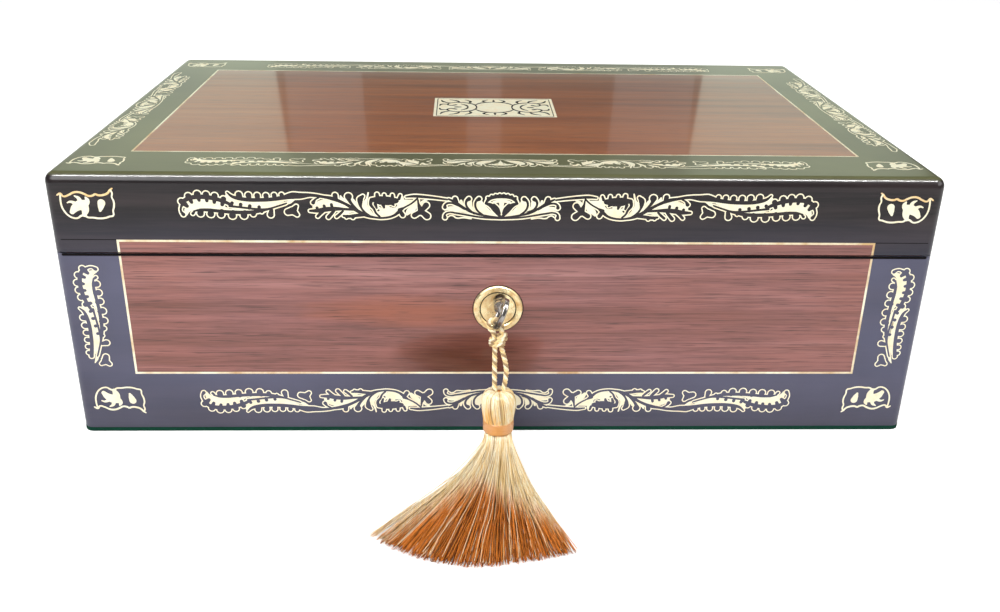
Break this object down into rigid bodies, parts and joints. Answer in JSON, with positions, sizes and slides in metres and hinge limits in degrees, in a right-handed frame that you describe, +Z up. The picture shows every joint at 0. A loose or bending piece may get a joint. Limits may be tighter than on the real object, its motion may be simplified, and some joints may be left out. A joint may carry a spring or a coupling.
{
  "type": "writing slope",
  "caption": "Rosewood veneered writing slope with brass inlay, slanting lid on butt hinges, box lock with key and silk tassel, two leather writing flaps and a pen and ink section.",
  "frame": {"origin": "centre of the underside, on the surface that the box stands on", "axes": "+X to the right along the length, +Y to the back where the hinges are, +Z up"},
  "size_m": [0.356, 0.327, 0.115],
  "materials": {
    "coromandel": "french polished, near black",
    "rosewood": "french polished, figured",
    "mahogany": "satin",
    "inlay_brass": "flush and polished",
    "fittings_brass": "polished",
    "key_steel": "worn bright steel",
    "screw_steel": "dull steel",
    "writing_leather": "gilt tooled skiver",
    "baize": "felted wool",
    "ink_glass": "clear pressed glass",
    "silk": "floss silk"
  },
  "bodies": {
    "case": {"base_baize": "baize", "base_board": "mahogany", "case_back": "coromandel", "case_flap": "mahogany", "case_flap_hinges": "fittings_brass", "case_front": "coromandel", "case_front_panel": "rosewood", "case_hinge_leaves": "fittings_brass", "case_hinge_screws": "screw_steel", "case_leather": "writing_leather", "case_ledges": "mahogany", "case_left": "coromandel", "case_right": "coromandel", "case_stringing": "inlay_brass", "drill_pin": "fittings_brass", "escutcheon_plate": "fittings_brass", "escutcheon_ring": "fittings_brass", "hinge_pins": "fittings_brass", "ink_bearers": "mahogany", "ink_divider_left": "mahogany", "ink_divider_right": "mahogany", "inkwell_cap_left": "fittings_brass", "inkwell_cap_right": "fittings_brass", "inkwell_left": "ink_glass", "inkwell_right": "ink_glass", "lock_cap": "fittings_brass", "lock_case": "fittings_brass", "lock_screws": "screw_steel", "partition": "mahogany", "pen_tray": "mahogany", "selvage": "fittings_brass", "tray_bearers": "mahogany"},
    "lid": {"lid_top": "coromandel", "lid_front": "coromandel", "lid_back": "coromandel", "lid_left": "coromandel", "lid_right": "coromandel", "top_panel": "rosewood", "top_stringing": "inlay_brass", "plaque": "inlay_brass", "lid_front_panel": "rosewood", "lid_front_stringing": "inlay_brass", "lid_hinge_leaves": "fittings_brass", "lid_hinge_screws": "screw_steel", "link_plate": "fittings_brass", "link_screws": "screw_steel", "lid_flap": "mahogany", "lid_leather": "writing_leather", "lid_ledges": "mahogany", "lid_flap_hinges": "fittings_brass"},
    "left_catch": {"catch_left": "fittings_brass"},
    "right_catch": {"catch_right": "fittings_brass"},
    "key": {"key": "key_steel"},
    "bolt": {"lock_bolt": "fittings_brass"},
    "tassel_loop": {"tassel_cord": "silk", "tassel_hitch": "silk"},
    "tassel": {"tassel_head": "silk", "tassel_band": "silk", "tassel_skirt": "silk"}
  },
  "joints": [
    {"name": "lid_hinge", "type": "hinge", "parent": "case", "child": "lid", "pos_m": [0, 0.1149, 0.0575], "axis": [-1, 0, 0], "range_deg": [0, 180]},
    {"name": "left_catch_turn", "type": "hinge", "parent": "lid", "child": "left_catch", "pos_m": [-0.095, -0.1085, 0.08165], "axis": [0, -0.1075, -0.9942], "range_deg": [0, 90]},
    {"name": "right_catch_turn", "type": "hinge", "parent": "lid", "child": "right_catch", "pos_m": [0.095, -0.1085, 0.08165], "axis": [0, -0.1075, -0.9942], "range_deg": [0, 90]},
    {"name": "key_turn", "type": "hinge", "parent": "case", "child": "key", "pos_m": [0, -0.1145, 0.0624], "axis": [0, 1, 0], "range_deg": [-16, 74]},
    {"name": "bolt_slide", "type": "slide", "parent": "case", "child": "bolt", "axis": [-1, 0, 0], "range_m": [-0.0008, 0.0034]},
    {"name": "tassel_hang", "type": "hinge", "parent": "key", "child": "tassel_loop", "pos_m": [-0.00214, -0.1287, 0.05711], "axis": [0, 1, 0], "range_deg": [-75, 17]},
    {"name": "tassel_lift", "type": "hinge", "parent": "tassel_loop", "child": "tassel", "pos_m": [-0.0004, -0.132, 0.0294], "axis": [-1, 0, 0], "range_deg": [0, 40]}
  ],
  "couplings": [
    {"joint": "bolt_slide", "follows": "key_turn", "m_per_rad": 0.0025},
    {"joint": "tassel_hang", "follows": "key_turn", "ratio": -1}
  ]
}
